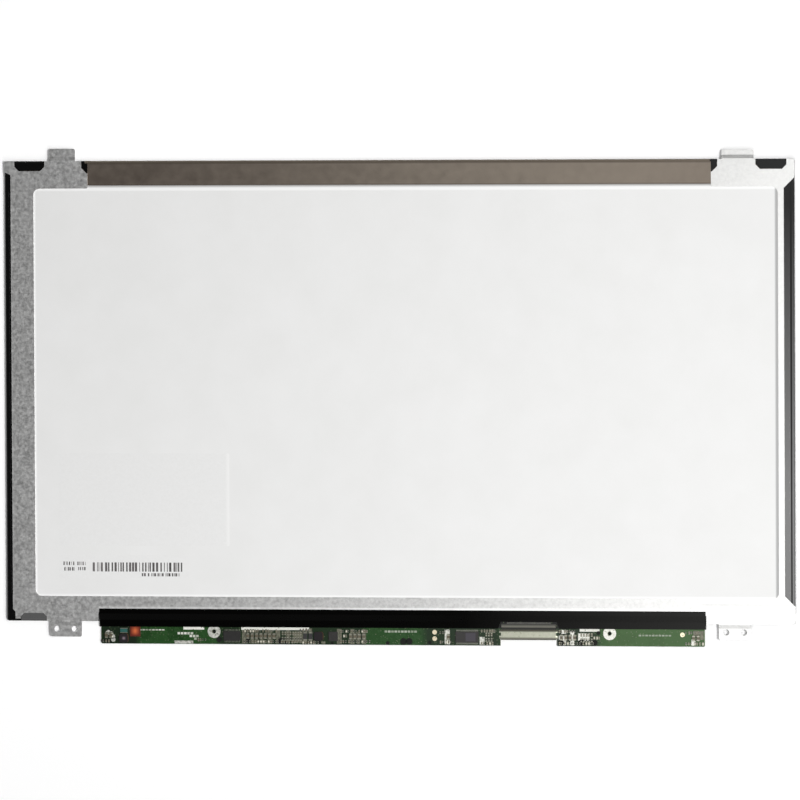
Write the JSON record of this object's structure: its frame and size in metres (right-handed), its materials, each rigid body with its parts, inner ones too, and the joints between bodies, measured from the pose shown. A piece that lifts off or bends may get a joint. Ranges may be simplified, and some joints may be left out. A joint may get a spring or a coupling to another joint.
{
  "type": "laptop screen panel",
  "caption": "Slim laptop display module seen from its white back: glass cell, edge-lit backlight, folded steel frame with screw tabs, and a driver board with a cable connector.",
  "frame": {"origin": "under the middle of the panel's outline, on the display face, which the panel lies on", "axes": "+X along the long side, +Y from the circuit board to the upper edge, +Z from the display face to the back"},
  "size_m": [0.3594, 0.2238, 0.0032],
  "materials": {
    "polarizer": "dark, fine anti-glare",
    "cell_glass": "thin display glass with a black printed border",
    "driver_film": "amber film with fine tracks",
    "bare_silicon": "polished dark grey",
    "rim_adhesive": "black film",
    "mould_black": "satin black moulding",
    "optical_film": "translucent film",
    "clear_acrylic": "clear moulded plate",
    "reflector_white": "satin white film",
    "brown_flex": "brown film over copper, soft metallic sheen",
    "diode_white": "white package with yellow phosphor",
    "frame_steel": "zinc-coated sheet with fine mottled crystals",
    "solder_mask": "green lacquer over copper tracks",
    "tape_black": "satin black film tape",
    "shell_metal": "tin-plated folded sheet",
    "housing_ivory": "ivory moulding",
    "contact_gold": "gold-plated strip",
    "package_black": "black moulded package with tinned leads",
    "ferrite": "dark grey ferrite",
    "capacitor_tan": "tan ceramic with tinned ends",
    "resistor_black": "black glaze with tinned ends",
    "fuse_teal": "teal ceramic with tinned ends",
    "label_white": "white label film"
  },
  "bodies": {
    "root": {"front_polarizer": "polarizer", "rear_polarizer": "polarizer", "colour_filter_glass": "cell_glass", "array_glass": "cell_glass", "driver_film_1": "driver_film", "driver_film_2": "driver_film", "driver_film_3": "driver_film", "driver_film_4": "driver_film", "driver_chip_1": "bare_silicon", "driver_chip_2": "bare_silicon", "driver_chip_3": "bare_silicon", "driver_chip_4": "bare_silicon", "rim_tape": "rim_adhesive", "mould_frame": "mould_black", "upper_prism_sheet": "optical_film", "lower_prism_sheet": "optical_film", "diffuser_sheet": "optical_film", "light_guide": "clear_acrylic", "reflector_sheet": "reflector_white", "light_bar_flex": "brown_flex", "light_bar_diodes": "diode_white", "back_frame": "frame_steel", "circuit_board": "solder_mask", "board_cover_tape": "tape_black", "connector_shell": "shell_metal", "connector_housing": "housing_ivory", "connector_contacts": "contact_gold", "timing_controller": "package_black", "power_chip": "package_black", "light_driver_chip": "package_black", "rectifiers": "package_black", "coils": "ferrite", "large_capacitors": "capacitor_tan", "small_capacitors": "capacitor_tan", "chip_resistors": "resistor_black", "input_fuse": "fuse_teal", "blank_label": "label_white", "code_label": "label_white"}
  },
  "joints": []
}
